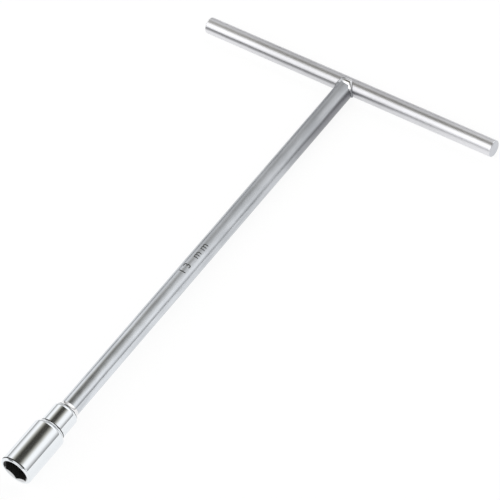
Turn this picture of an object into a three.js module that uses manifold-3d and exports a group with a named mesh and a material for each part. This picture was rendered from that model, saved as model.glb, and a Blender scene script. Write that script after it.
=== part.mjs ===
// T-handle hex socket wrench, lying flat.
// A round cross bar is welded across one end of a round shaft. The other end of the shaft
// sits in the neck of a forged hexagon socket, where a second weld ring holds it.
// Millimetres, +Z up. The cross bar lies along X. The drive axis lies along Y and the socket's
// mouth faces -Y. The origin is under the middle of the wrench, on the plane that the socket
// rests on.

import * as THREE from 'three';
import { mergeVertices } from 'three/addons/utils/BufferGeometryUtils.js';
import Module from 'manifold-3d';

// ---- Driving dimensions ----

const REACH = 310; // cross bar's axis to the socket's mouth
const ROUND = 48; // facets round a full turn
const ARC_STEPS = 6; // steps along a rounded edge
const BEAD_STEPS = 12; // facets round the handle weld's bead
const BEAD_LENGTH_STEPS = 64;
const MERGE_DISTANCE = 1e-4; // corners closer than this are one corner

const BAR_LENGTH = 195;
const BAR_RADIUS = 5;
const BAR_END_ROUND = 0.8; // radius of the turned edge at each end

const SHAFT_RADIUS = 5.5;
const SHAFT_CREST_BACK = 1.5; // how far the shaft's crest ends short of the bar's axis
const TENON_CHAMFER = 0.6;

const HEX_ACROSS_FLATS = 13;
const HEX_DEPTH = 16;
const HEX_TURN = THREE.MathUtils.degToRad(20); // a corner's angle from +X towards +Z
const COUNTERSINK_RADIUS = 7.8;
const COUNTERSINK_SLOPE = THREE.MathUtils.degToRad(30); // from the mouth's plane
const RELIEF_RADIUS = 6.3; // clearance bore behind the hexagon
const RELIEF_DEPTH = 24;
const DRILL_HALF_ANGLE = THREE.MathUtils.degToRad(59);

const SOCKET_RADIUS = 9.5;
const MOUTH_CHAMFER_LENGTH = 0.6;
const MOUTH_CHAMFER_WIDTH = 0.8;
const BODY_LENGTH = 28.2; // mouth to where the shoulder starts to turn in
const SHOULDER_STEEPEST = THREE.MathUtils.degToRad(60); // slope where the shoulder's two rounds meet
const SHOULDER_SHARE = 0.42; // the outer round's share of the shoulder
const NECK_RADIUS = 7.5;
const NECK_TOP = 44.4; // mouth to the neck's end face
const NECK_ROUND = 2; // radius of the neck's outer edge
const TENON_TOP = 31.5; // mouth to the bottom of the bore that takes the shaft

const WELD_GAP = 0.2; // clearance that cut faces keep from each other
const BORE_CLEARANCE = 0.1;
const HANDLE_BEAD_RADIUS = 1.05;
const HANDLE_BEAD_CREST = 1.0; // how far the bead's crest lies short of the bar's axis
const NECK_BEAD_WIDTH = 1;
const NECK_BEAD_LENGTH = 2.4;
const NECK_BEAD_EDGE = 0.2; // thickness where the hollow bead runs out

const OVERCUT = 1; // how far a cutting tool runs past the face that it enters
const CUTTER_LENGTH = 22; // spans the shaft and the bead across it

// ---- Materials ----

const chrome = (color, roughness) => new THREE.MeshStandardMaterial({ color, roughness, metalness: 1 });

const barChrome = chrome(0xc9cacc, 0.16);
const shaftChrome = chrome(0xb9bcc1, 0.28);
const socketChrome = chrome(0xd3d5d8, 0.08);
const weldChrome = chrome(0xb4b7ba, 0.34);

// ---- Solids: three.js shapes, cut and joined ----

const wasm = await Module();
wasm.setup();

// A solid from a closed geometry: positions only, shared corners merged, slivers dropped.
function solid(geometry) {
  const bare = geometry.clone();
  bare.deleteAttribute('normal');
  bare.deleteAttribute('uv');
  const merged = mergeVertices(bare, MERGE_DISTANCE);
  const index = merged.getIndex().array;
  const triangles = [];
  for (let i = 0; i < index.length; i += 3) {
    const [a, b, c] = [index[i], index[i + 1], index[i + 2]];
    if (a !== b && b !== c && c !== a) triangles.push(a, b, c);
  }
  return new wasm.Manifold(new wasm.Mesh({
    numProp: 3,
    vertProperties: Float32Array.from(merged.getAttribute('position').array),
    triVerts: Uint32Array.from(triangles),
  }));
}

function geometryOf(manifold) {
  const mesh = manifold.getMesh();
  const geometry = new THREE.BufferGeometry();
  geometry.setAttribute('position', new THREE.BufferAttribute(Float32Array.from(mesh.vertProperties), 3));
  geometry.setIndex(new THREE.BufferAttribute(Uint32Array.from(mesh.triVerts), 1));
  const faceted = geometry.toNonIndexed();
  faceted.computeVertexNormals();
  return faceted;
}

function namedMesh(name, manifold, material) {
  const mesh = new THREE.Mesh(geometryOf(manifold), material);
  mesh.name = name;
  return mesh;
}

// ---- Profiles: [radius, place along the axis] ----

// Points on an elliptical quarter or any other stretch of an ellipse, ends included.
function arc(radius, along, width, length, from, to) {
  const points = [];
  for (let i = 0; i <= ARC_STEPS; i += 1) {
    const angle = from + ((to - from) * i) / ARC_STEPS;
    points.push([radius + width * Math.cos(angle), along + length * Math.sin(angle)]);
  }
  return points;
}

function turnedGeometry(profile) {
  return new THREE.LatheGeometry(profile.map(([r, y]) => new THREE.Vector2(r, y)), ROUND);
}

// A solid of revolution round the drive axis.
function turned(profile) {
  return solid(turnedGeometry(profile));
}

// A round rod or cutter along X, centred on the cross bar.
function rodAlongX(radius, length) {
  return solid(new THREE.CylinderGeometry(radius, radius, length, ROUND).rotateZ(Math.PI / 2));
}

// ---- Cross bar ----

function crossBar() {
  const half = BAR_LENGTH / 2;
  const flat = BAR_RADIUS - BAR_END_ROUND;
  const turn = half - BAR_END_ROUND;
  const rod = turnedGeometry([
    [0, -half],
    ...arc(flat, -turn, BAR_END_ROUND, BAR_END_ROUND, -Math.PI / 2, 0),
    ...arc(flat, turn, BAR_END_ROUND, BAR_END_ROUND, 0, Math.PI / 2),
    [0, half],
  ]);
  return solid(rod.rotateZ(-Math.PI / 2));
}

// ---- Shaft: a rod whose top end is notched to saddle the bar ----

function shaft() {
  const foot = -REACH + TENON_TOP + BORE_CLEARANCE;
  const rod = turned([
    [0, foot],
    [SHAFT_RADIUS - TENON_CHAMFER, foot],
    [SHAFT_RADIUS, foot + TENON_CHAMFER],
    [SHAFT_RADIUS, -SHAFT_CREST_BACK],
    [0, -SHAFT_CREST_BACK],
  ]);
  return rod.subtract(rodAlongX(BAR_RADIUS + WELD_GAP, CUTTER_LENGTH));
}

// ---- Socket: a stepped forging with a hexagon recess and a bore for the shaft ----

function socketForging() {
  const mouth = -REACH;
  const bodyEnd = mouth + BODY_LENGTH;
  const neckTop = mouth + NECK_TOP;
  const bore = SHAFT_RADIUS + BORE_CLEARANCE;
  // The shoulder is an S: a round on the body's edge, then a hollow that runs out on the neck.
  const bothRounds = (SOCKET_RADIUS - NECK_RADIUS) / (1 - Math.cos(SHOULDER_STEEPEST));
  const outer = SHOULDER_SHARE * bothRounds;
  const hollow = bothRounds - outer;
  const neckFoot = bodyEnd + bothRounds * Math.sin(SHOULDER_STEEPEST);
  const hollowStart = Math.PI + SHOULDER_STEEPEST;
  return turned([
    [0, mouth],
    [SOCKET_RADIUS - MOUTH_CHAMFER_WIDTH, mouth],
    [SOCKET_RADIUS, mouth + MOUTH_CHAMFER_LENGTH],
    ...arc(SOCKET_RADIUS - outer, bodyEnd, outer, outer, 0, SHOULDER_STEEPEST),
    ...arc(NECK_RADIUS + hollow, neckFoot, hollow, hollow, hollowStart, Math.PI).slice(1),
    ...arc(NECK_RADIUS - NECK_ROUND, neckTop - NECK_ROUND, NECK_ROUND, NECK_ROUND, 0, Math.PI / 2),
    [bore, neckTop],
    [bore, mouth + TENON_TOP],
    [0, mouth + TENON_TOP],
  ]);
}

function hexPrism() {
  const corner = HEX_ACROSS_FLATS / 2 / Math.cos(Math.PI / 6);
  const outline = new THREE.Shape();
  for (let i = 0; i < 6; i += 1) {
    const angle = HEX_TURN + (i * Math.PI) / 3;
    const [x, z] = [corner * Math.cos(angle), corner * Math.sin(angle)];
    if (i === 0) outline.moveTo(x, -z);
    else outline.lineTo(x, -z);
  }
  outline.closePath();
  const depth = HEX_DEPTH + OVERCUT;
  // The prism is made standing on Z and laid down onto Y, which turns the outline's y to -Z.
  const prism = new THREE.ExtrudeGeometry(outline, { depth, bevelEnabled: false });
  return solid(prism.rotateX(-Math.PI / 2).translate(0, -REACH - OVERCUT, 0));
}

function countersinkAndRelief() {
  const mouth = -REACH;
  const reliefEnd = mouth + RELIEF_DEPTH;
  const slope = Math.tan(COUNTERSINK_SLOPE);
  return turned([
    [0, mouth - OVERCUT],
    [COUNTERSINK_RADIUS + OVERCUT / slope, mouth - OVERCUT],
    [RELIEF_RADIUS, mouth + (COUNTERSINK_RADIUS - RELIEF_RADIUS) * slope],
    [RELIEF_RADIUS, reliefEnd],
    [0, reliefEnd + RELIEF_RADIUS / Math.tan(DRILL_HALF_ANGLE)],
  ]);
}

function socket() {
  return socketForging().subtract(hexPrism()).subtract(countersinkAndRelief());
}

// ---- Welds ----

// A ring that follows the line where the shaft's surface meets the bar's. It starts as a torus
// round the shaft. Each point keeps its place in the ring's round section, while the section's
// centre moves onto the bar. Over the crest the shaft is wider than the bar, and there the
// centre stays on the bar's surface at a fixed distance from the bar's axis.
function handleWeld() {
  const ring = new THREE.TorusGeometry(SHAFT_RADIUS, HANDLE_BEAD_RADIUS, BEAD_STEPS, BEAD_LENGTH_STEPS);
  ring.rotateX(Math.PI / 2);
  const position = ring.getAttribute('position');
  const crestHeight = Math.sqrt(BAR_RADIUS ** 2 - HANDLE_BEAD_CREST ** 2);
  for (let i = 0; i < position.count; i += 1) {
    const [x, y, z] = [position.getX(i), position.getY(i), position.getZ(i)];
    const distance = Math.hypot(x, z);
    const [sideways, upwards] = [x / distance, z / distance];
    const onBar = upwards === 0 ? Infinity : crestHeight / Math.abs(upwards);
    const centre = Math.min(SHAFT_RADIUS, onBar);
    const back = Math.sqrt(BAR_RADIUS ** 2 - (centre * upwards) ** 2);
    const radius = centre + distance - SHAFT_RADIUS;
    position.setXYZ(i, radius * sideways, y - back, radius * upwards);
  }
  const shaftClearance = turned([
    [0, -REACH],
    [SHAFT_RADIUS + WELD_GAP, -REACH],
    [SHAFT_RADIUS + WELD_GAP, -SHAFT_CREST_BACK + WELD_GAP],
    [0, -SHAFT_CREST_BACK + WELD_GAP],
  ]);
  const bar = rodAlongX(BAR_RADIUS + WELD_GAP, CUTTER_LENGTH);
  return solid(ring).subtract(shaftClearance).subtract(bar);
}

function socketWeld() {
  const inner = SHAFT_RADIUS + BORE_CLEARANCE;
  const foot = -REACH + NECK_TOP + BORE_CLEARANCE;
  return turned([
    [inner, foot],
    [inner + NECK_BEAD_WIDTH, foot],
    ...arc(
      inner + NECK_BEAD_WIDTH,
      foot + NECK_BEAD_LENGTH,
      NECK_BEAD_WIDTH - NECK_BEAD_EDGE,
      NECK_BEAD_LENGTH - NECK_BEAD_EDGE,
      1.5 * Math.PI,
      Math.PI,
    ),
    [inner, foot + NECK_BEAD_LENGTH],
    [inner, foot],
  ]);
}

// ---- Assembly ----

const wrench = new THREE.Group();
wrench.add(
  namedMesh('cross_bar', crossBar(), barChrome),
  namedMesh('shaft', shaft(), shaftChrome),
  namedMesh('socket', socket(), socketChrome),
  namedMesh('handle_weld', handleWeld(), weldChrome),
  namedMesh('socket_weld', socketWeld(), weldChrome),
);
wrench.position.set(0, (REACH - BAR_RADIUS) / 2, SOCKET_RADIUS);

export default wrench;
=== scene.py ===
import math

import bmesh
import bpy
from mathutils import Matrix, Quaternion, Vector


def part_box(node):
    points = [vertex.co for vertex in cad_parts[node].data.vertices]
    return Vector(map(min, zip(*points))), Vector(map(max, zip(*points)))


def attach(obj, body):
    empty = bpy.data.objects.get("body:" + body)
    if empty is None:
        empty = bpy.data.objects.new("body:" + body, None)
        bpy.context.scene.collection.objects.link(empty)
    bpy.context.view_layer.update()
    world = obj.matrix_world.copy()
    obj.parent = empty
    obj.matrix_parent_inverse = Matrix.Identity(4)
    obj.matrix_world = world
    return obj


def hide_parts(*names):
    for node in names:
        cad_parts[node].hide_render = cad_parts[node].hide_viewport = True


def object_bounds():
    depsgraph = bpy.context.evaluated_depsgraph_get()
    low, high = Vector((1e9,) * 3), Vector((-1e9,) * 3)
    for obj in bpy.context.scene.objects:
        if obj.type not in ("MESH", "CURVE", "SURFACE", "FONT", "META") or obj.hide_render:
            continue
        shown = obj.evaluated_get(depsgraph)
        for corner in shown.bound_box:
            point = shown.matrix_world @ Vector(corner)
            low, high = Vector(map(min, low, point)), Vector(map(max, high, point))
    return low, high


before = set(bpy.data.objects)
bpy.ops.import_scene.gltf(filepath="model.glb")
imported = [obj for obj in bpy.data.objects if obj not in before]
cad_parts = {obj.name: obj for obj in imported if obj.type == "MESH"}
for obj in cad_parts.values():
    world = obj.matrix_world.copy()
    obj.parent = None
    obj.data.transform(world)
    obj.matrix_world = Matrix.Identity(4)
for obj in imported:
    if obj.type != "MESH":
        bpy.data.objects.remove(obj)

cad_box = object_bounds()

# T-handle hexagon socket wrench, lying on its socket and its cross bar.
# Metres. The bar lies along X, the drive axis along Y, and the socket's mouth faces -Y.

MM = 0.001
ROUND = 128  # facets round a full turn
near = 0.01 * MM  # points closer than this are taken as one place

# ---- Places and sizes, from the frame ----

bar_low, bar_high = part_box("cross_bar")
shaft_low, shaft_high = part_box("shaft")
socket_low, socket_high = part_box("socket")
ring_low, ring_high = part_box("socket_weld")

bar_radius = (bar_high.z - bar_low.z) / 2
bar_y = (bar_low.y + bar_high.y) / 2
bar_half = (bar_high.x - bar_low.x) / 2
shaft_radius = (shaft_high.x - shaft_low.x) / 2
axis_z = (shaft_high.z + shaft_low.z) / 2
shaft_foot = shaft_low.y
crest_y = shaft_high.y
mouth_y = socket_low.y
neck_top = socket_high.y
socket_radius = (socket_high.x - socket_low.x) / 2

# ---- Details that the frame's boxes don't say ----

bar_end_round = 0.8 * MM
bar_end_rim = bar_radius * 0.25  # flat rim of each end face, round its dished middle
bar_end_dish = 0.12 * MM
bar_rings = 12  # rings of edges on each side of the bar's middle, which keep its shading even
bar_ring_reach = bar_half - 1.2 * MM  # the outermost ring's place

body_length = 28.2 * MM  # mouth to where the shoulder turns in
shoulder_steepest = math.radians(60)
shoulder_share = 0.42  # the outer round's share of the shoulder, the hollow takes the rest
shoulder_steps = 12  # rings of edges in the outer round, and in the hollow
neck_radius = 7.5 * MM
neck_round = 2.0 * MM
mouth_chamfer_length = 0.6 * MM
mouth_chamfer_width = 0.8 * MM
edge_break = 0.12 * MM  # tiny round on turned corners
edge_line = 0.32 * MM  # depth of the turned line behind the mouth's chamfer
line_clearance = 2 * MM  # the line's faces are at least this far outside the relief
line_lip = 0.02 * MM  # and this far under the body's surface
line_share = 0.7  # the line is dark up to this share of the socket's radius towards +X
support = 0.15 * MM  # short band that keeps the shading of a straight length straight
tenon_bore_depth = 12.9 * MM
tenon_play = 0.1 * MM
tenon_round = 0.6 * MM

hex_flats = 13 * MM
hex_corner_radius = hex_flats / 2 / math.cos(math.pi / 6)
hex_turn = math.radians(10)  # a corner's angle from straight up towards +X
hex_depth = 16 * MM
countersink_radius = 7.8 * MM
countersink_slope = math.radians(30)  # from the mouth's plane
countersink_least = 0.2  # a face slopes like the countersink where its normal's Y is
countersink_most = 0.98  # between these two
mouth_zone = 3 * MM  # the mouth's faces reach no deeper than this
recess_margin = 0.05 * MM
relief_radius = 6.3 * MM
relief_depth = 24 * MM
drill_tip_radius = relief_radius * 0.1
drill_tip_length = relief_radius * 0.55

shaft_lengths = 24  # equal lengths that the shaft is extruded in
stamp_text = "13 mm"
stamp_size = 6.2 * MM
stamp_spacing = 1.5  # times the figures' usual spacing
stamp_depth = 0.22 * MM
stamp_y = 1.5 * MM  # middle of the stamped figures
stamp_turn = math.radians(6)  # from straight up towards +X
stamp_bends = 4  # lines of edges on each side of the figures' middle, where they bend
stamp_bend_gap = stamp_size / 10
stamp_rings = 7  # rings of the shaft on each side of the figures' middle
stamp_ring_gap = 2 * MM

handle_bead_radius = 1.1 * MM
handle_bead_crest = 1.0 * MM  # the bead's crest lies this far short of the bar's axis
handle_bead_share = 0.8  # the bead's section, against the torus that it is made from
swell_turn = 0.15  # radians from straight up towards +X, where the bead swells
swell_spread = 0.80  # radians from there to where the swelling fades
swell_share = 1.5  # what the swelling adds to the section
swell_sunk = 0.95 * MM  # how far it is drawn in towards the shaft's axis
swell_down = 0.5 * MM  # how far it is drawn down the shaft

ring_lap = 0.1 * MM  # the socket's weld reaches this far into the neck and the shaft
ring_edge = 0.12 * MM  # thickness of the ring where its hollow side runs out
ring_steps = 12


# ---- Shader maths ----


class Field:
    """A socket whose operators add Math nodes to its tree."""

    def __init__(self, tree, socket):
        self.tree = tree
        self.socket = socket

    def maths(self, operation, *values):
        inputs = dict(enumerate(values))
        return self.tree.add("ShaderNodeMath", {"operation": operation}, inputs)

    def __add__(self, other):
        return self.maths("ADD", self, other)

    def __sub__(self, other):
        return self.maths("SUBTRACT", self, other)

    def __mul__(self, other):
        return self.maths("MULTIPLY", self, other)

    def __truediv__(self, other):
        return self.maths("DIVIDE", self, other)

    def __pow__(self, other):
        return self.maths("POWER", self, other)

    def __rsub__(self, other):
        return self.maths("SUBTRACT", other, self)

    def __abs__(self):
        return self.maths("ABSOLUTE", self)

    def most(self, other):
        return self.maths("MAXIMUM", self, other)

    def rise(self, start, end):
        """0 before start, 1 after end, and an S-curve in between."""
        settings = {"interpolation_type": "SMOOTHSTEP"}
        inputs = {"Value": self, "From Min": start, "From Max": end}
        return self.tree.add("ShaderNodeMapRange", settings, inputs)

    def between(self, low, high):
        """A field from 0 to 1, spread from low to high."""
        return self * (high - low) + low


class Tree:
    """The node tree of a material or a world, empty to begin with."""

    def __init__(self, owner):
        owner.use_nodes = True
        self.tree = owner.node_tree
        self.tree.nodes.clear()

    def feed(self, socket, value):
        """Links a field to a socket, or sets the socket's value. A colour's alpha is 1."""
        if isinstance(value, Field):
            self.tree.links.new(value.socket, socket)
        elif hasattr(value, "__len__") and len(socket.default_value) > len(value):
            socket.default_value = [*value, 1]
        else:
            socket.default_value = value

    def add(self, kind, settings=(), inputs=(), output=0):
        """Adds a node, sets it up, feeds its sockets, and returns one of its outputs."""
        node = self.tree.nodes.new(kind)
        for name, value in dict(settings).items():
            setattr(node, name, value)
        for name, value in dict(inputs).items():
            self.feed(node.inputs[name], value)
        return Field(self, node.outputs[output]) if len(node.outputs) else None

    def mix(self, factor, first, second):
        """A colour between two colours."""
        settings = {"data_type": "RGBA"}
        inputs = {0: factor, 6: first, 7: second}
        return self.add("ShaderNodeMix", settings, inputs, output=2)

    def place(self, scale, offset=(0, 0, 0)):
        """Object coordinates, stretched by scale, for a pattern's Vector."""
        here = self.add("ShaderNodeTexCoord", output=3)
        inputs = {"Vector": here, "Location": offset, "Scale": scale}
        return self.add("ShaderNodeMapping", {}, inputs)

    def noise(self, scale, detail=2, roughness=0.5, offset=(0, 0, 0)):
        """Noise from 0 to 1 with a grain of 1 / scale metres along each axis."""
        inputs = {
            "Vector": self.place(scale, offset),
            "Scale": 1.0,
            "Detail": detail,
            "Roughness": roughness,
        }
        return self.add("ShaderNodeTexNoise", {}, inputs)

    def along(self, axis):
        """One object coordinate, in metres."""
        here = self.add("ShaderNodeTexCoord", output=3)
        return self.add("ShaderNodeSeparateXYZ", {}, {0: here}, output="XYZ".index(axis))

    def bump(self, height, distance, after=None):
        """A surface normal tipped by a height field, which is in units of distance."""
        inputs = {"Height": height, "Distance": distance}
        if after is not None:
            inputs["Normal"] = after
        return self.add("ShaderNodeBump", {}, inputs)


def plated(colour, roughness, normal, metallic=1):
    """Links a finish's fields to a metal surface."""
    tree = colour.tree
    inputs = {
        "Base Color": colour,
        "Roughness": roughness,
        "Metallic": metallic,
        "Normal": normal,
    }
    surface = tree.add("ShaderNodeBsdfPrincipled", {}, inputs)
    tree.add("ShaderNodeOutputMaterial", {}, {"Surface": surface})


def new_finish(name):
    material = bpy.data.materials.new(name)
    return material, Tree(material)


# ---- Finishes: linear colours, noise grain per metre, angles in radians ----


def angle_round(tree, sideways):
    """The angle round an axis at axis_z, from straight up towards the sideways distance."""
    upwards = tree.along("Z") - axis_z
    return sideways.maths("ARCTAN2", sideways, upwards)


def bar_chrome():
    """Bright plate over a drawn rod that was polished along its length, so it is a little wavy."""
    dark_plate = (0.62, 0.62, 0.64)
    light_plate = (0.69, 0.69, 0.715)
    painted_bright_end_plate = (0.79, 0.79, 0.815)
    painted_reflection_plate = (0.2, 0.2, 0.21)
    end_plate = (0.56, 0.575, 0.61)
    material, tree = new_finish("bar_chrome")
    clouds = tree.noise((60, 170, 170), detail=3)
    specks = tree.noise((900, 1500, 1500), offset=(0.3, 0.1, 0.7))
    waves = tree.noise((110, 90, 90), detail=1)
    tone = clouds * 0.6 + specks * 0.4
    colour = tree.mix(tone.rise(0.35, 0.65), dark_plate, light_plate)

    # Painted light: both ends are brighter than the middle, as painted brighter reflections.
    from_middle = abs(tree.along("X"))
    colour = tree.mix(from_middle.rise(0.035, 0.095) * 0.8, colour, painted_bright_end_plate)

    # A painted dark reflection runs along the front as a band, and is fainter towards +X.
    angle = angle_round(tree, bar_y - tree.along("Y")) + (clouds - 0.5) * 0.16
    painted_dark_band = angle.rise(0.94, 1.06) * (1 - angle.rise(1.17, 1.42))
    painted_band_strength = tree.along("X").rise(0.09, -0.02).between(0.10, 0.72)
    colour = tree.mix(painted_dark_band * painted_band_strength, colour, painted_reflection_plate)

    # The turned end faces are greyer.
    end_face = from_middle.rise(bar_half - 0.5 * MM, bar_half - 0.15 * MM)
    colour = tree.mix(end_face * 0.85, colour, end_plate)

    roughness = clouds.between(0.27, 0.33) + specks * 0.06
    normal = tree.bump(waves, 0.13 * MM)
    normal = tree.bump(specks, 0.0009 * MM, after=normal)
    plated(colour, roughness, normal)
    return material


def shaft_chrome():
    """Satin plate: cloudy streaks along the rod, duller and darker towards the cross bar, with
    painted shade on its +X side next to the bar.
    """
    dark_by_socket = (0.60, 0.625, 0.66)
    dark_by_bar = (0.385, 0.40, 0.422)
    light_by_socket = (0.72, 0.75, 0.79)
    light_by_bar = (0.495, 0.51, 0.535)
    painted_shade_colour = (0.20, 0.20, 0.215)
    material, tree = new_finish("shaft_chrome")
    towards_bar = tree.along("Y").rise(mouth_y, crest_y)
    streaks = tree.noise((420, 34, 420), detail=4, roughness=0.6)
    clouds = tree.noise((120, 60, 120), offset=(0.5, 0.2, 0.9))
    hairlines = tree.noise((3000, 60, 3000))
    tone = streaks * 0.6 + clouds * 0.4
    dulling = towards_bar**1.5
    dark = tree.mix(dulling, dark_by_socket, dark_by_bar)
    light = tree.mix(dulling, light_by_socket, light_by_bar)
    colour = tree.mix(tone.rise(0.38, 0.62), dark, light)

    # Painted shade: the +X side is darker where the shaft comes up to the bar.
    angle = angle_round(tree, tree.along("X")) + (clouds - 0.5) * 0.2
    painted_shade_mask = angle.rise(0.72, 1.00) * towards_bar.rise(0.84, 0.99)
    colour = tree.mix(painted_shade_mask * 0.8, colour, painted_shade_colour)

    roughness = towards_bar * 0.16 + tone.between(0.08, 0.18) + hairlines * 0.04
    normal = tree.bump(clouds, 0.08 * MM)
    normal = tree.bump(hairlines, 0.0012 * MM, after=normal)
    plated(colour, roughness, normal)
    return material


def socket_chrome():
    """Mirror plate over a turned forging: faint rings from the lathe under the plate."""
    dark_plate = (0.80, 0.83, 0.86)
    light_plate = (0.845, 0.875, 0.90)
    material, tree = new_finish("socket_chrome")
    rings = tree.noise((8, 2400, 8))
    clouds = tree.noise((90, 60, 90))
    colour = tree.mix(clouds, dark_plate, light_plate)
    roughness = clouds.between(0.045, 0.085) + rings * 0.02
    normal = tree.bump(clouds, 0.02 * MM)
    normal = tree.bump(rings, 0.0004 * MM, after=normal)
    plated(colour, roughness, normal)
    return material


def weld_chrome():
    """Plate over a dressed weld: smooth on top and rougher down the sides, which get painted
    shade, darkest low on the +X side.
    """
    dark_plate = (0.74, 0.75, 0.77)
    light_plate = (0.84, 0.84, 0.86)
    weld_painted_shade_plate = (0.24, 0.245, 0.26)
    material, tree = new_finish("weld_chrome")
    ripples = tree.noise((700, 700, 700))
    colour = tree.mix(ripples.rise(0.35, 0.65), dark_plate, light_plate)
    # Painted shade: darker down both sides of the bead, most towards +X.
    angle = angle_round(tree, tree.along("X"))
    lit_and_smooth = angle.rise(-0.30, 0.05).between(0.35, 1) * (1 - angle.rise(0.80, 1.10))
    colour = tree.mix(lit_and_smooth, weld_painted_shade_plate, colour)
    roughness = ripples.between(0.10, 0.16) + (1 - lit_and_smooth) * 0.14
    normal = tree.bump(ripples, 0.04 * MM)
    plated(colour, roughness, normal)
    return material


def painted_dark_recess():
    """The broached recess's inside, painted near-black as shade. The turned line behind the
    mouth's chamfer gets it too, as a painted dark reflection.
    """
    deep_painted_shade = (0.012, 0.012, 0.011)
    paler_painted_shade = (0.035, 0.034, 0.031)
    material, tree = new_finish("painted_dark_recess")
    grain = tree.noise((900, 300, 900), detail=3)
    colour = tree.mix(grain, deep_painted_shade, paler_painted_shade)
    roughness = grain.between(0.45, 0.65)
    normal = tree.bump(grain, 0.01 * MM)
    plated(colour, roughness, normal, metallic=0.6)
    return material


def countersink_painted_shade():
    """Plate round the mouth with painted shade: dark and rougher on the upper side, grey on the
    lower.
    """
    grey_plate = (0.62, 0.63, 0.64)
    deep_painted_shade = (0.02, 0.02, 0.018)
    material, tree = new_finish("countersink_painted_shade")
    grain = tree.noise((900, 300, 900), detail=3)
    # Painted shade: darker towards the top.
    height = tree.along("Z") - axis_z + grain * 2 * MM
    upper = height.rise(-3 * MM, 1 * MM)
    colour = tree.mix(upper, grey_plate, deep_painted_shade)
    roughness = upper.between(0.12, 0.45) + grain * 0.06
    normal = tree.bump(grain, 0.01 * MM)
    plated(colour, roughness, normal)
    return material


def stamped_figures():
    """The bottom of the stamped figures, where the plate is thin and holds dirt."""
    dirt = (0.06, 0.06, 0.055)
    thin_plate = (0.22, 0.22, 0.215)
    material, tree = new_finish("stamped_figures")
    grain = tree.noise((1500, 1500, 1500))
    colour = tree.mix(grain, dirt, thin_plate)
    roughness = grain.between(0.35, 0.55)
    normal = tree.bump(grain, 0.01 * MM)
    plated(colour, roughness, normal)
    return material


# ---- Modelling helpers ----


def alone(piece):
    """Selects one object and nothing else, in object mode."""
    if bpy.context.mode != "OBJECT":
        bpy.ops.object.mode_set(mode="OBJECT")
    bpy.ops.object.select_all(action="DESELECT")
    piece.select_set(True)
    bpy.context.view_layer.objects.active = piece


def named(name):
    """Names the object that was just added and puts its place into its mesh."""
    piece = bpy.context.object
    piece.name = name
    piece.data.name = name
    bpy.ops.object.transform_apply(location=True, rotation=True, scale=True)
    return piece


def select(piece, kind, wanted):
    """In edit mode, selects only the edges or the faces that wanted() accepts."""
    bpy.ops.mesh.select_all(action="DESELECT")
    bpy.ops.mesh.select_mode(type=kind)
    mesh = bmesh.from_edit_mesh(piece.data)
    items = mesh.edges if kind == "EDGE" else mesh.faces
    for item in items:
        if wanted(item):
            item.select_set(True)
    mesh.select_flush_mode()
    bmesh.update_edit_mesh(piece.data)


def from_axis(point):
    """A point's distance from the drive axis."""
    return math.hypot(point.x, point.z - axis_z)


def ring_at(place, radius):
    """Accepts the edges of a turned ring at that place along Y and that radius."""

    def on_ring(vertex):
        return abs(vertex.co.y - place) < near and abs(from_axis(vertex.co) - radius) < near

    return lambda edge: all(on_ring(vertex) for vertex in edge.verts)


def add_ring(piece, place, normal):
    """Cuts a ring of edges into the whole mesh, where a plane crosses it."""
    bpy.ops.mesh.select_all(action="SELECT")
    bpy.ops.mesh.bisect(plane_co=place, plane_no=normal)


def turned(name, steps):
    """A solid turned about the drive axis: a disc, extruded and resized from step to step.

    Each step is (radius, place along Y)."""
    radius, place = steps[0]
    bpy.ops.object.select_all(action="DESELECT")
    bpy.ops.mesh.primitive_circle_add(
        vertices=ROUND,
        radius=radius,
        fill_type="NGON",
        location=(0, place, axis_z),
        rotation=(math.pi / 2, 0, 0),
    )
    piece = named(name)
    bpy.ops.object.mode_set(mode="EDIT")
    bpy.ops.mesh.select_all(action="SELECT")
    for next_radius, next_place in steps[1:]:
        bpy.ops.mesh.extrude_region_move(
            TRANSFORM_OT_translate={"value": (0, next_place - place, 0)}
        )
        growth = next_radius / radius
        bpy.ops.transform.resize(
            value=(growth, 1, growth), center_override=(0, next_place, axis_z)
        )
        radius, place = next_radius, next_place
    bpy.ops.mesh.select_all(action="SELECT")
    bpy.ops.mesh.normals_make_consistent(inside=False)
    bpy.ops.object.mode_set(mode="OBJECT")
    return piece


def round_ring(piece, place, radius, width, segments):
    """Rounds one turned corner."""
    alone(piece)
    bpy.ops.object.mode_set(mode="EDIT")
    select(piece, "EDGE", ring_at(place, radius))
    bpy.ops.mesh.bevel(
        offset=width, offset_type="OFFSET", segments=segments, profile=0.5, affect="EDGES"
    )
    bpy.ops.object.mode_set(mode="OBJECT")


def cut(piece, cutter, keep_finish=False):
    """Takes the cutter's shape out of the piece and removes the cutter.

    With keep_finish, the cut surfaces have the cutter's finish."""
    alone(piece)
    modifier = piece.modifiers.new("cut", "BOOLEAN")
    modifier.operation = "DIFFERENCE"
    modifier.solver = "EXACT"
    if keep_finish:
        modifier.material_mode = "TRANSFER"
    modifier.object = cutter
    bpy.ops.object.modifier_apply(modifier=modifier.name)
    bpy.data.objects.remove(cutter)


def finished(piece, node, slot, *materials, angle=32):
    """Adds finishes to the piece, shades it and ties it to the frame."""
    alone(piece)
    for material in materials:
        piece.data.materials.append(material)
    bpy.ops.object.shade_smooth_by_angle(angle=math.radians(angle))
    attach(piece, "root")
    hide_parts(node)


# ---- Cross bar ----


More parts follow.
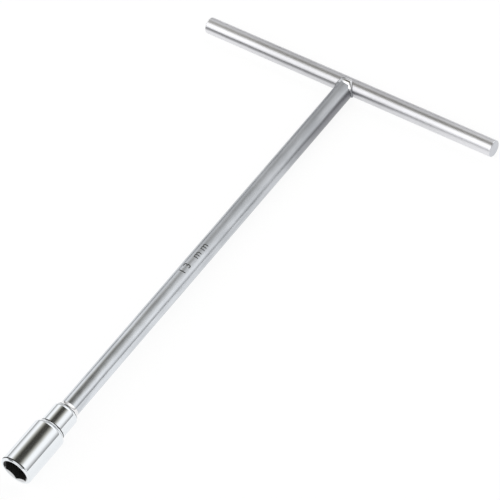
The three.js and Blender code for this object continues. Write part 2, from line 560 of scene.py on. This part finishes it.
def make_cross_bar():
    bpy.ops.object.select_all(action="DESELECT")
    bpy.ops.mesh.primitive_cylinder_add(
        vertices=ROUND,
        radius=bar_radius,
        depth=2 * bar_half,
        location=(0, bar_y, axis_z),
        rotation=(0, math.pi / 2, 0),
    )
    piece = named("cross_bar_rod")
    bpy.ops.object.mode_set(mode="EDIT")

    def on_end(edge):
        first, second = edge.verts
        return abs(first.co.x - second.co.x) < near

    select(piece, "EDGE", on_end)
    bpy.ops.mesh.bevel(
        offset=bar_end_round, offset_type="OFFSET", segments=8, profile=0.5, affect="EDGES"
    )
    for i in range(-bar_rings, bar_rings + 1):
        place = Vector((i / bar_rings * bar_ring_reach, 0, 0))
        add_ring(piece, place, Vector((1, 0, 0)))
    for side in (-1, 1):
        # The end face is the only one there with more than four corners.
        select(piece, "FACE", lambda face: face.normal.x * side > 0.999 and len(face.verts) > 4)
        bpy.ops.mesh.inset(thickness=bar_end_rim)
        bpy.ops.transform.translate(value=(-side * bar_end_dish, 0, 0))
    bpy.ops.object.mode_set(mode="OBJECT")
    finished(piece, "cross_bar", "bar_chrome", bar_chrome())


# ---- Shaft ----


def size_stamp():
    """The wrench's size in plain figures, wrapped round the shaft, ready to be cut into it."""
    bpy.ops.object.select_all(action="DESELECT")
    bpy.ops.object.text_add()
    figures = bpy.context.object.data
    figures.body = stamp_text
    figures.size = stamp_size
    figures.space_character = stamp_spacing
    figures.align_x = "CENTER"
    figures.align_y = "CENTER"
    figures.extrude = stamp_depth
    bpy.ops.object.convert(target="MESH")
    stamp = named("size_stamp")
    bpy.ops.object.mode_set(mode="EDIT")
    bpy.ops.mesh.select_all(action="SELECT")
    bpy.ops.mesh.remove_doubles(threshold=near)
    bpy.ops.mesh.normals_make_consistent(inside=False)
    for i in range(-stamp_bends, stamp_bends + 1):
        add_ring(stamp, Vector((0, i * stamp_bend_gap, 0)), Vector((0, 1, 0)))
    bpy.ops.object.mode_set(mode="OBJECT")
    for vertex in stamp.data.vertices:
        along, up, out = vertex.co
        turn = stamp_turn - up / shaft_radius
        radius = shaft_radius + out
        sideways = radius * math.sin(turn)
        upwards = radius * math.cos(turn)
        vertex.co = Vector((sideways, stamp_y + along, axis_z + upwards))
    stamp.data.materials.append(stamped_figures())
    return stamp


def make_shaft():
    length = crest_y - shaft_foot
    steps = []
    for i in range(shaft_lengths + 1):
        steps.append((shaft_radius, shaft_foot + length * i / shaft_lengths))
    piece = turned("shaft_rod", steps)
    piece.data.materials.append(shaft_chrome())
    bpy.ops.object.mode_set(mode="EDIT")
    for i in range(-stamp_rings, stamp_rings + 1):
        add_ring(piece, Vector((0, stamp_y + i * stamp_ring_gap, 0)), Vector((0, 1, 0)))
    bpy.ops.object.mode_set(mode="OBJECT")
    cut(piece, size_stamp(), keep_finish=True)

    # The saddle is cut a little smaller than the bar, so that no gap shows between the two.
    bpy.ops.object.select_all(action="DESELECT")
    bpy.ops.mesh.primitive_cylinder_add(
        vertices=2 * ROUND,
        radius=bar_radius - edge_break,
        depth=4 * shaft_radius,
        location=(0, bar_y, axis_z),
        rotation=(0, math.pi / 2, 0),
    )
    cut(piece, named("bar_shape"))
    round_ring(piece, shaft_foot, shaft_radius, tenon_round, segments=2)
    finished(piece, "shaft", "shaft_chrome")


# ---- Socket ----


def hexagon_broach():
    """A six-sided bar that reaches from outside the mouth to the hexagon's depth."""
    overcut = 2 * MM
    length = hex_depth + overcut
    bpy.ops.object.select_all(action="DESELECT")
    bpy.ops.mesh.primitive_cylinder_add(
        vertices=6,
        radius=hex_corner_radius,
        depth=length,
        location=(0, mouth_y - overcut + length / 2, axis_z),
        rotation=(math.pi / 2, 0, 0),
    )
    broach = named("hexagon_broach")
    bpy.ops.object.mode_set(mode="EDIT")
    bpy.ops.mesh.select_all(action="SELECT")
    bpy.ops.transform.rotate(
        value=-hex_turn, orient_axis="Y", center_override=(0, mouth_y, axis_z)
    )
    bpy.ops.object.mode_set(mode="OBJECT")
    return broach


def shoulder_profile(body_end):
    """The S-shaped shoulder as steps of (radius, place along Y), and where the neck starts."""
    both_rounds = (socket_radius - neck_radius) / (1 - math.cos(shoulder_steepest))
    outer = shoulder_share * both_rounds
    hollow = both_rounds - outer
    neck_foot = body_end + both_rounds * math.sin(shoulder_steepest)
    steps = []
    for i in range(1, shoulder_steps + 1):
        angle = i * shoulder_steepest / shoulder_steps
        radius = socket_radius - outer * (1 - math.cos(angle))
        steps.append((radius, body_end + outer * math.sin(angle)))
    for i in range(shoulder_steps - 1, 0, -1):
        angle = i * shoulder_steepest / shoulder_steps
        radius = neck_radius + hollow * (1 - math.cos(angle))
        steps.append((radius, neck_foot - hollow * math.sin(angle)))
    return steps, neck_foot


def socket_profile():
    """The turned socket as steps of (radius, place along Y), and where its neck starts."""
    body_end = mouth_y + body_length
    shoulder, neck_foot = shoulder_profile(body_end)
    relief_end = mouth_y + relief_depth
    countersink_end = mouth_y + (countersink_radius - relief_radius) * math.tan(countersink_slope)
    chamfer_end = mouth_y + mouth_chamfer_length
    bore = shaft_radius + tenon_play
    steps = [
        (drill_tip_radius, relief_end + drill_tip_length),
        (relief_radius, relief_end),
        (relief_radius, countersink_end),
        (countersink_radius, mouth_y),
        (socket_radius - mouth_chamfer_width, mouth_y),
        (socket_radius - edge_break, chamfer_end),
        (socket_radius - edge_line, chamfer_end + edge_line),
        (socket_radius, chamfer_end + 2 * edge_line),
        (socket_radius, chamfer_end + 3 * edge_line),
        (socket_radius, body_end - support),
        (socket_radius, body_end),
        *shoulder,
        (neck_radius, neck_foot),
        (neck_radius, neck_foot + support),
        (neck_radius, neck_top - neck_round - support),
        (neck_radius, neck_top),
        (bore, neck_top),
        (bore, neck_top - tenon_bore_depth),
    ]
    return steps, neck_foot


def on_dark_line(face):
    """Accepts the turned line behind the mouth's chamfer, which gets a painted dark reflection."""
    centre = face.calc_center_median()
    line_start = mouth_y + mouth_chamfer_length
    behind_chamfer = line_start < centre.y < line_start + 2 * edge_line
    in_groove = relief_radius + line_clearance < from_axis(centre) < socket_radius - line_lip
    return behind_chamfer and in_groove and centre.x < socket_radius * line_share


def on_countersink(face):
    """Accepts the cone at the mouth, which the hexagon's corners cut into."""
    centre = face.calc_center_median()
    slopes = countersink_least < abs(face.normal.y) < countersink_most
    at_mouth = centre.y < mouth_y + mouth_zone
    return slopes and at_mouth and from_axis(centre) < countersink_radius


def in_recess(face, neck_foot):
    """Accepts the hexagon, the bore behind it and its end, but not the cone at the mouth."""
    centre = face.calc_center_median()
    within = centre.y < neck_foot and from_axis(centre) < hex_corner_radius + recess_margin
    faces_out = abs(face.normal.y) > countersink_least and centre.y < mouth_y + mouth_zone
    return within and not faces_out


def make_socket():
    steps, neck_foot = socket_profile()
    piece = turned("socket_forging", steps)
    cut(piece, hexagon_broach())
    round_ring(piece, neck_top, neck_radius, neck_round, segments=10)
    round_ring(piece, mouth_y, socket_radius - mouth_chamfer_width, edge_break, segments=3)
    round_ring(piece, mouth_y, countersink_radius, edge_break, segments=3)
    for material in (socket_chrome(), painted_dark_recess(), countersink_painted_shade()):
        piece.data.materials.append(material)
    alone(piece)
    bpy.ops.object.mode_set(mode="EDIT")
    # Painted shade in the recess, and a painted dark reflection in the line behind the chamfer.
    select(piece, "FACE", lambda face: on_dark_line(face) or in_recess(face, neck_foot))
    piece.active_material_index = 1
    bpy.ops.object.material_slot_assign()
    # Painted shade: the countersink is dark on its upper side.
    select(piece, "FACE", on_countersink)
    piece.active_material_index = 2
    bpy.ops.object.material_slot_assign()
    bpy.ops.object.mode_set(mode="OBJECT")
    finished(piece, "socket", "socket_chrome", angle=28)


# ---- Welds ----


def swelling(turn):
    """How much the handle's weld swells at an angle round the shaft, from 0 to 1."""
    return math.exp(-(((turn - swell_turn) / swell_spread) ** 4))


def make_handle_weld():
    """A bead laid round the shaft, moved onto the line where the shaft meets the bar."""
    bpy.ops.object.select_all(action="DESELECT")
    bpy.ops.mesh.primitive_torus_add(
        major_segments=192,
        minor_segments=24,
        major_radius=shaft_radius,
        minor_radius=handle_bead_radius,
        location=(0, bar_y, axis_z),
        rotation=(math.pi / 2, 0, 0),
    )
    piece = named("handle_weld_bead")

    # The shaft is thicker than the bar, so the bead's line stops climbing at this height.
    crest_height = math.sqrt(bar_radius**2 - handle_bead_crest**2)
    least_rise = 0.01  # keeps the division finite where the bead's place is level with the axis
    for vertex in piece.data.vertices:
        across = Vector((vertex.co.x, 0, vertex.co.z - axis_z))
        outward = across.normalized()
        centre = min(shaft_radius, crest_height / max(abs(outward.z), least_rise))
        back = math.sqrt(bar_radius**2 - (centre * outward.z) ** 2)
        swell = swelling(math.atan2(outward.x, outward.z))
        share = handle_bead_share + swell_share * swell
        proud = (across.length - shaft_radius) * share - swell_sunk * swell
        along = (vertex.co.y - bar_y) * share - swell_down * swell
        place = outward * (centre + proud)
        vertex.co = Vector((place.x, bar_y + along - back, place.z + axis_z))
    finished(piece, "handle_weld", "weld_chrome", weld_chrome())


def make_socket_weld():
    """A ring with a hollow side, which fills the corner between the neck and the shaft."""
    inner = shaft_radius - ring_lap
    outer = (ring_high.x - ring_low.x) / 2
    width = outer - shaft_radius - ring_edge / 2
    length = ring_high.y - ring_low.y - ring_edge
    steps = [(inner, neck_top - ring_lap), (outer, neck_top - ring_lap)]
    for i in range(ring_steps + 1):
        angle = i * math.pi / (2 * ring_steps)
        radius = outer - width * math.sin(angle)
        steps.append((radius, ring_high.y - length * math.cos(angle)))
    steps.append((inner, ring_high.y))
    piece = turned("socket_weld_ring", steps)
    finished(piece, "socket_weld", "weld_chrome", bpy.data.materials["socket_chrome"])


make_cross_bar()
make_shaft()
make_socket()
make_handle_weld()
make_socket_weld()


# ---- Stage: a pale floor that the socket and the bar both rest on ----


def make_floor():
    """A glowing white floor. It tilts a little, because the bar is thinner than the socket."""
    floor_size = 12
    floor_grey = (0.12, 0.12, 0.12)
    floor_glow = 0.885
    rest_y = mouth_y + body_length
    slope = math.atan2(bar_low.z - socket_low.z, bar_y - rest_y)
    bpy.ops.object.select_all(action="DESELECT")
    bpy.ops.mesh.primitive_plane_add(
        size=floor_size, location=(0, rest_y, socket_low.z), rotation=(slope, 0, 0)
    )
    floor = bpy.context.object
    floor.name = "floor"
    material, tree = new_finish("pale_floor")
    inputs = {
        "Base Color": floor_grey,
        "Roughness": 0.9,
        "Emission Color": (1, 1, 1),
        "Emission Strength": floor_glow,
    }
    surface = tree.add("ShaderNodeBsdfPrincipled", {}, inputs)
    tree.add("ShaderNodeOutputMaterial", {}, {"Surface": surface})
    floor.data.materials.append(material)


def dark_card(x, y, z):
    """A dark card overhead, 1 on it and 0 off it. It is a strip along Y with a slanting side."""
    lowest = 0.05  # keeps the slant finite near the horizon
    slant = x / z.most(lowest)
    past_side = (slant + (y - 0.38) * 7).rise(0.12, 1)
    across = slant.rise(-1.30, -0.22) * (1 - past_side)
    along = y.rise(-0.36, -0.02) * (1 - y.rise(0.405, 0.51))
    return across * along


def low_shade(x, y, z):
    """How dim the light is near the floor: most in front, on the -X side."""
    in_front = (0 - y).rise(0.2, 0.9) * (1 - x.rise(-0.48, -0.36) * 0.75)
    front_shade = in_front * (1 - z.rise(0.10, 0.53)) * 0.97
    shade_all_round = (1 - z.rise(-0.04, 0.52)) * 0.74
    return front_shade.most(shade_all_round)


def make_studio():
    """The light from each direction. x, y and z are the direction's parts, from -1 to 1."""
    white = (1, 1, 1)
    warm_white = (1, 0.96, 0.82)
    world = bpy.data.worlds.new("studio")
    bpy.context.scene.world = world
    tree = Tree(world)
    here = tree.add("ShaderNodeTexCoord")
    x = tree.add("ShaderNodeSeparateXYZ", {}, {0: here}, output=0)
    y = tree.add("ShaderNodeSeparateXYZ", {}, {0: here}, output=1)
    z = tree.add("ShaderNodeSeparateXYZ", {}, {0: here}, output=2)

    # The light is brightest in front, and a wall behind brightens towards +X.
    sky_light = y.rise(0.3, -0.45).between(1.12, 1.5)
    wall_light = x.rise(-0.55, 0.05).between(0.62, 1.28)
    wall = y.rise(0.40, 0.54)
    card = dark_card(x, y, z)
    light = sky_light * (1 - wall) + wall_light * wall
    light = light * (1 - card * 0.95) * (1 - low_shade(x, y, z))

    # The camera itself sees plain white all round.
    seen = tree.add("ShaderNodeLightPath")
    strength = light * (1 - seen) + seen
    colour = tree.mix(card * (1 - seen), white, warm_white)
    surface = tree.add("ShaderNodeBackground", {}, {"Color": colour, "Strength": strength})
    tree.add("ShaderNodeOutputWorld", {}, {"Surface": surface})


make_floor()
make_studio()


# ---- Camera ----


def make_camera():
    """A long lens from the front and above, to the +X side. It is aimed past the box's middle."""
    azimuth = math.radians(42.60)
    elevation = math.radians(50.01)
    roll = math.radians(-9.78)
    distance = 1.546
    aim_past_x = 20.8 * MM
    aim_past_y = 25.1 * MM
    low, high = cad_box
    middle_x = (low.x + high.x) / 2
    middle_y = (low.y + high.y) / 2
    aim = Vector((middle_x + aim_past_x, middle_y + aim_past_y, axis_z))
    forward = Vector((
        -math.sin(azimuth) * math.cos(elevation),
        math.cos(azimuth) * math.cos(elevation),
        -math.sin(elevation),
    ))
    data = bpy.data.cameras.new("camera")
    data.lens = 204.8
    data.sensor_width = 36
    camera = bpy.data.objects.new("camera", data)
    bpy.context.scene.collection.objects.link(camera)
    camera.rotation_mode = "QUATERNION"
    camera.rotation_quaternion = forward.to_track_quat("-Z", "Y") @ Quaternion((0, 0, 1), roll)
    camera.location = aim - forward * distance
    bpy.context.scene.camera = camera


make_camera()
bpy.context.scene.view_settings.view_transform = "Standard"
